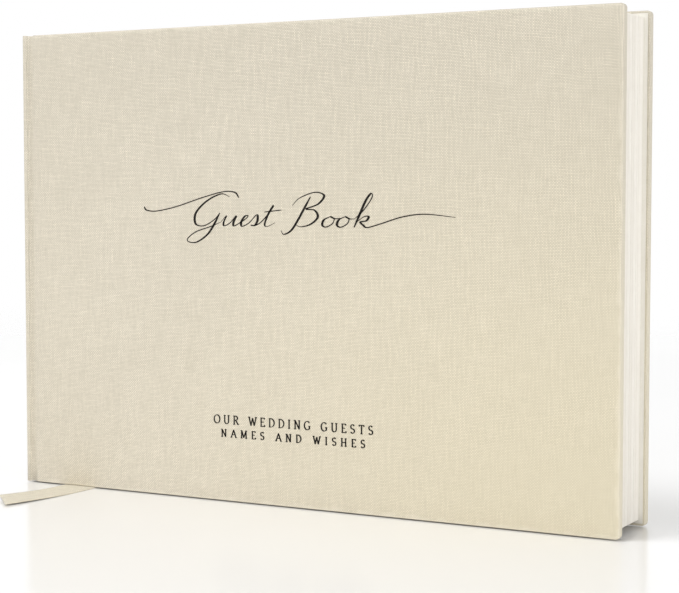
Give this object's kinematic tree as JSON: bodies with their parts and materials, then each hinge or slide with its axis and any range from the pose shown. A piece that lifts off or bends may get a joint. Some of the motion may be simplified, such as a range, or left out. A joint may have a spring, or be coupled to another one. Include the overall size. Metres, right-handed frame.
{
  "type": "wedding guest book",
  "caption": "Landscape case-bound guest book in natural linen boards with rounded-fold sewn sections, headbands, endpapers and a flat ribbon marker; covers and first leaves turn.",
  "frame": {"origin": "middle of the closed book on the surface under its tail edge", "axes": "+X from the spine to the fore-edge, +Y from the front cover to the back cover, +Z from tail to head"},
  "size_m": [0.216, 0.0686, 0.1543],
  "materials": {
    "linen": "natural book linen, plain weave with slubs",
    "greyboard": "dense grey binder's board",
    "mull": "open-weave starched cotton",
    "endpaper": "heavier cream endpaper",
    "page_paper": "matt cream writing paper",
    "thread": "waxed linen thread",
    "kraft": "brown kraft paper",
    "band_silk": "cream and beige striped band",
    "ribbon": "flat woven linen ribbon"
  },
  "bodies": {
    "book_block": {"front_hinge_cloth": "linen", "front_endpaper_tip": "endpaper", "back_hinge_cloth": "linen", "back_endpaper_tip": "endpaper", "spine_cloth": "linen", "spine_board": "greyboard", "section_01": "page_paper", "section_02": "page_paper", "section_03": "page_paper", "section_04": "page_paper", "section_05": "page_paper", "section_06": "page_paper", "section_07": "page_paper", "section_08": "page_paper", "section_09": "page_paper", "section_10": "page_paper", "section_11": "page_paper", "section_12": "page_paper", "sewing_threads": "thread", "mull": "mull", "spine_lining": "kraft", "headband": "band_silk", "tailband": "band_silk", "ribbon_marker": "ribbon"},
    "front_cover": {"front_cloth": "linen", "front_board": "greyboard", "front_mull_flap": "mull", "front_pastedown": "endpaper"},
    "back_cover": {"back_cloth": "linen", "back_board": "greyboard", "back_mull_flap": "mull", "back_pastedown": "endpaper"},
    "front_flyleaf": {"front_flyleaf": "endpaper"},
    "back_flyleaf": {"back_flyleaf": "endpaper"},
    "leaf_01": {"leaf_01": "page_paper"},
    "leaf_02": {"leaf_02": "page_paper"}
  },
  "joints": [
    {"name": "front_cover_hinge", "type": "hinge", "parent": "book_block", "child": "front_cover", "pos_m": [-0.1048, -0.0134, 0.07], "axis": [0, 0, -1], "range_deg": [0, 178]},
    {"name": "back_cover_hinge", "type": "hinge", "parent": "book_block", "child": "back_cover", "pos_m": [-0.1048, 0.0134, 0.07], "axis": [0, 0, 1], "range_deg": [0, 178]},
    {"name": "front_flyleaf_turn", "type": "hinge", "parent": "book_block", "child": "front_flyleaf", "pos_m": [-0.1, -0.00995, 0.07], "axis": [0, 0, -1], "range_deg": [0, 124.6]},
    {"name": "leaf_01_turn", "type": "hinge", "parent": "book_block", "child": "leaf_01", "pos_m": [-0.0988, -0.00975, 0.07], "axis": [0, 0, -1], "range_deg": [0, 99.68]},
    {"name": "leaf_02_turn", "type": "hinge", "parent": "book_block", "child": "leaf_02", "pos_m": [-0.0976, -0.00955, 0.07], "axis": [0, 0, -1], "range_deg": [0, 78.32]},
    {"name": "back_flyleaf_turn", "type": "hinge", "parent": "book_block", "child": "back_flyleaf", "pos_m": [-0.1, 0.00995, 0.07], "axis": [0, 0, 1], "range_deg": [0, 124.6]}
  ],
  "couplings": [
    {"joint": "front_flyleaf_turn", "follows": "front_cover_hinge", "ratio": 0.7},
    {"joint": "leaf_01_turn", "follows": "front_cover_hinge", "ratio": 0.56},
    {"joint": "leaf_02_turn", "follows": "front_cover_hinge", "ratio": 0.44},
    {"joint": "back_flyleaf_turn", "follows": "back_cover_hinge", "ratio": 0.7}
  ]
}
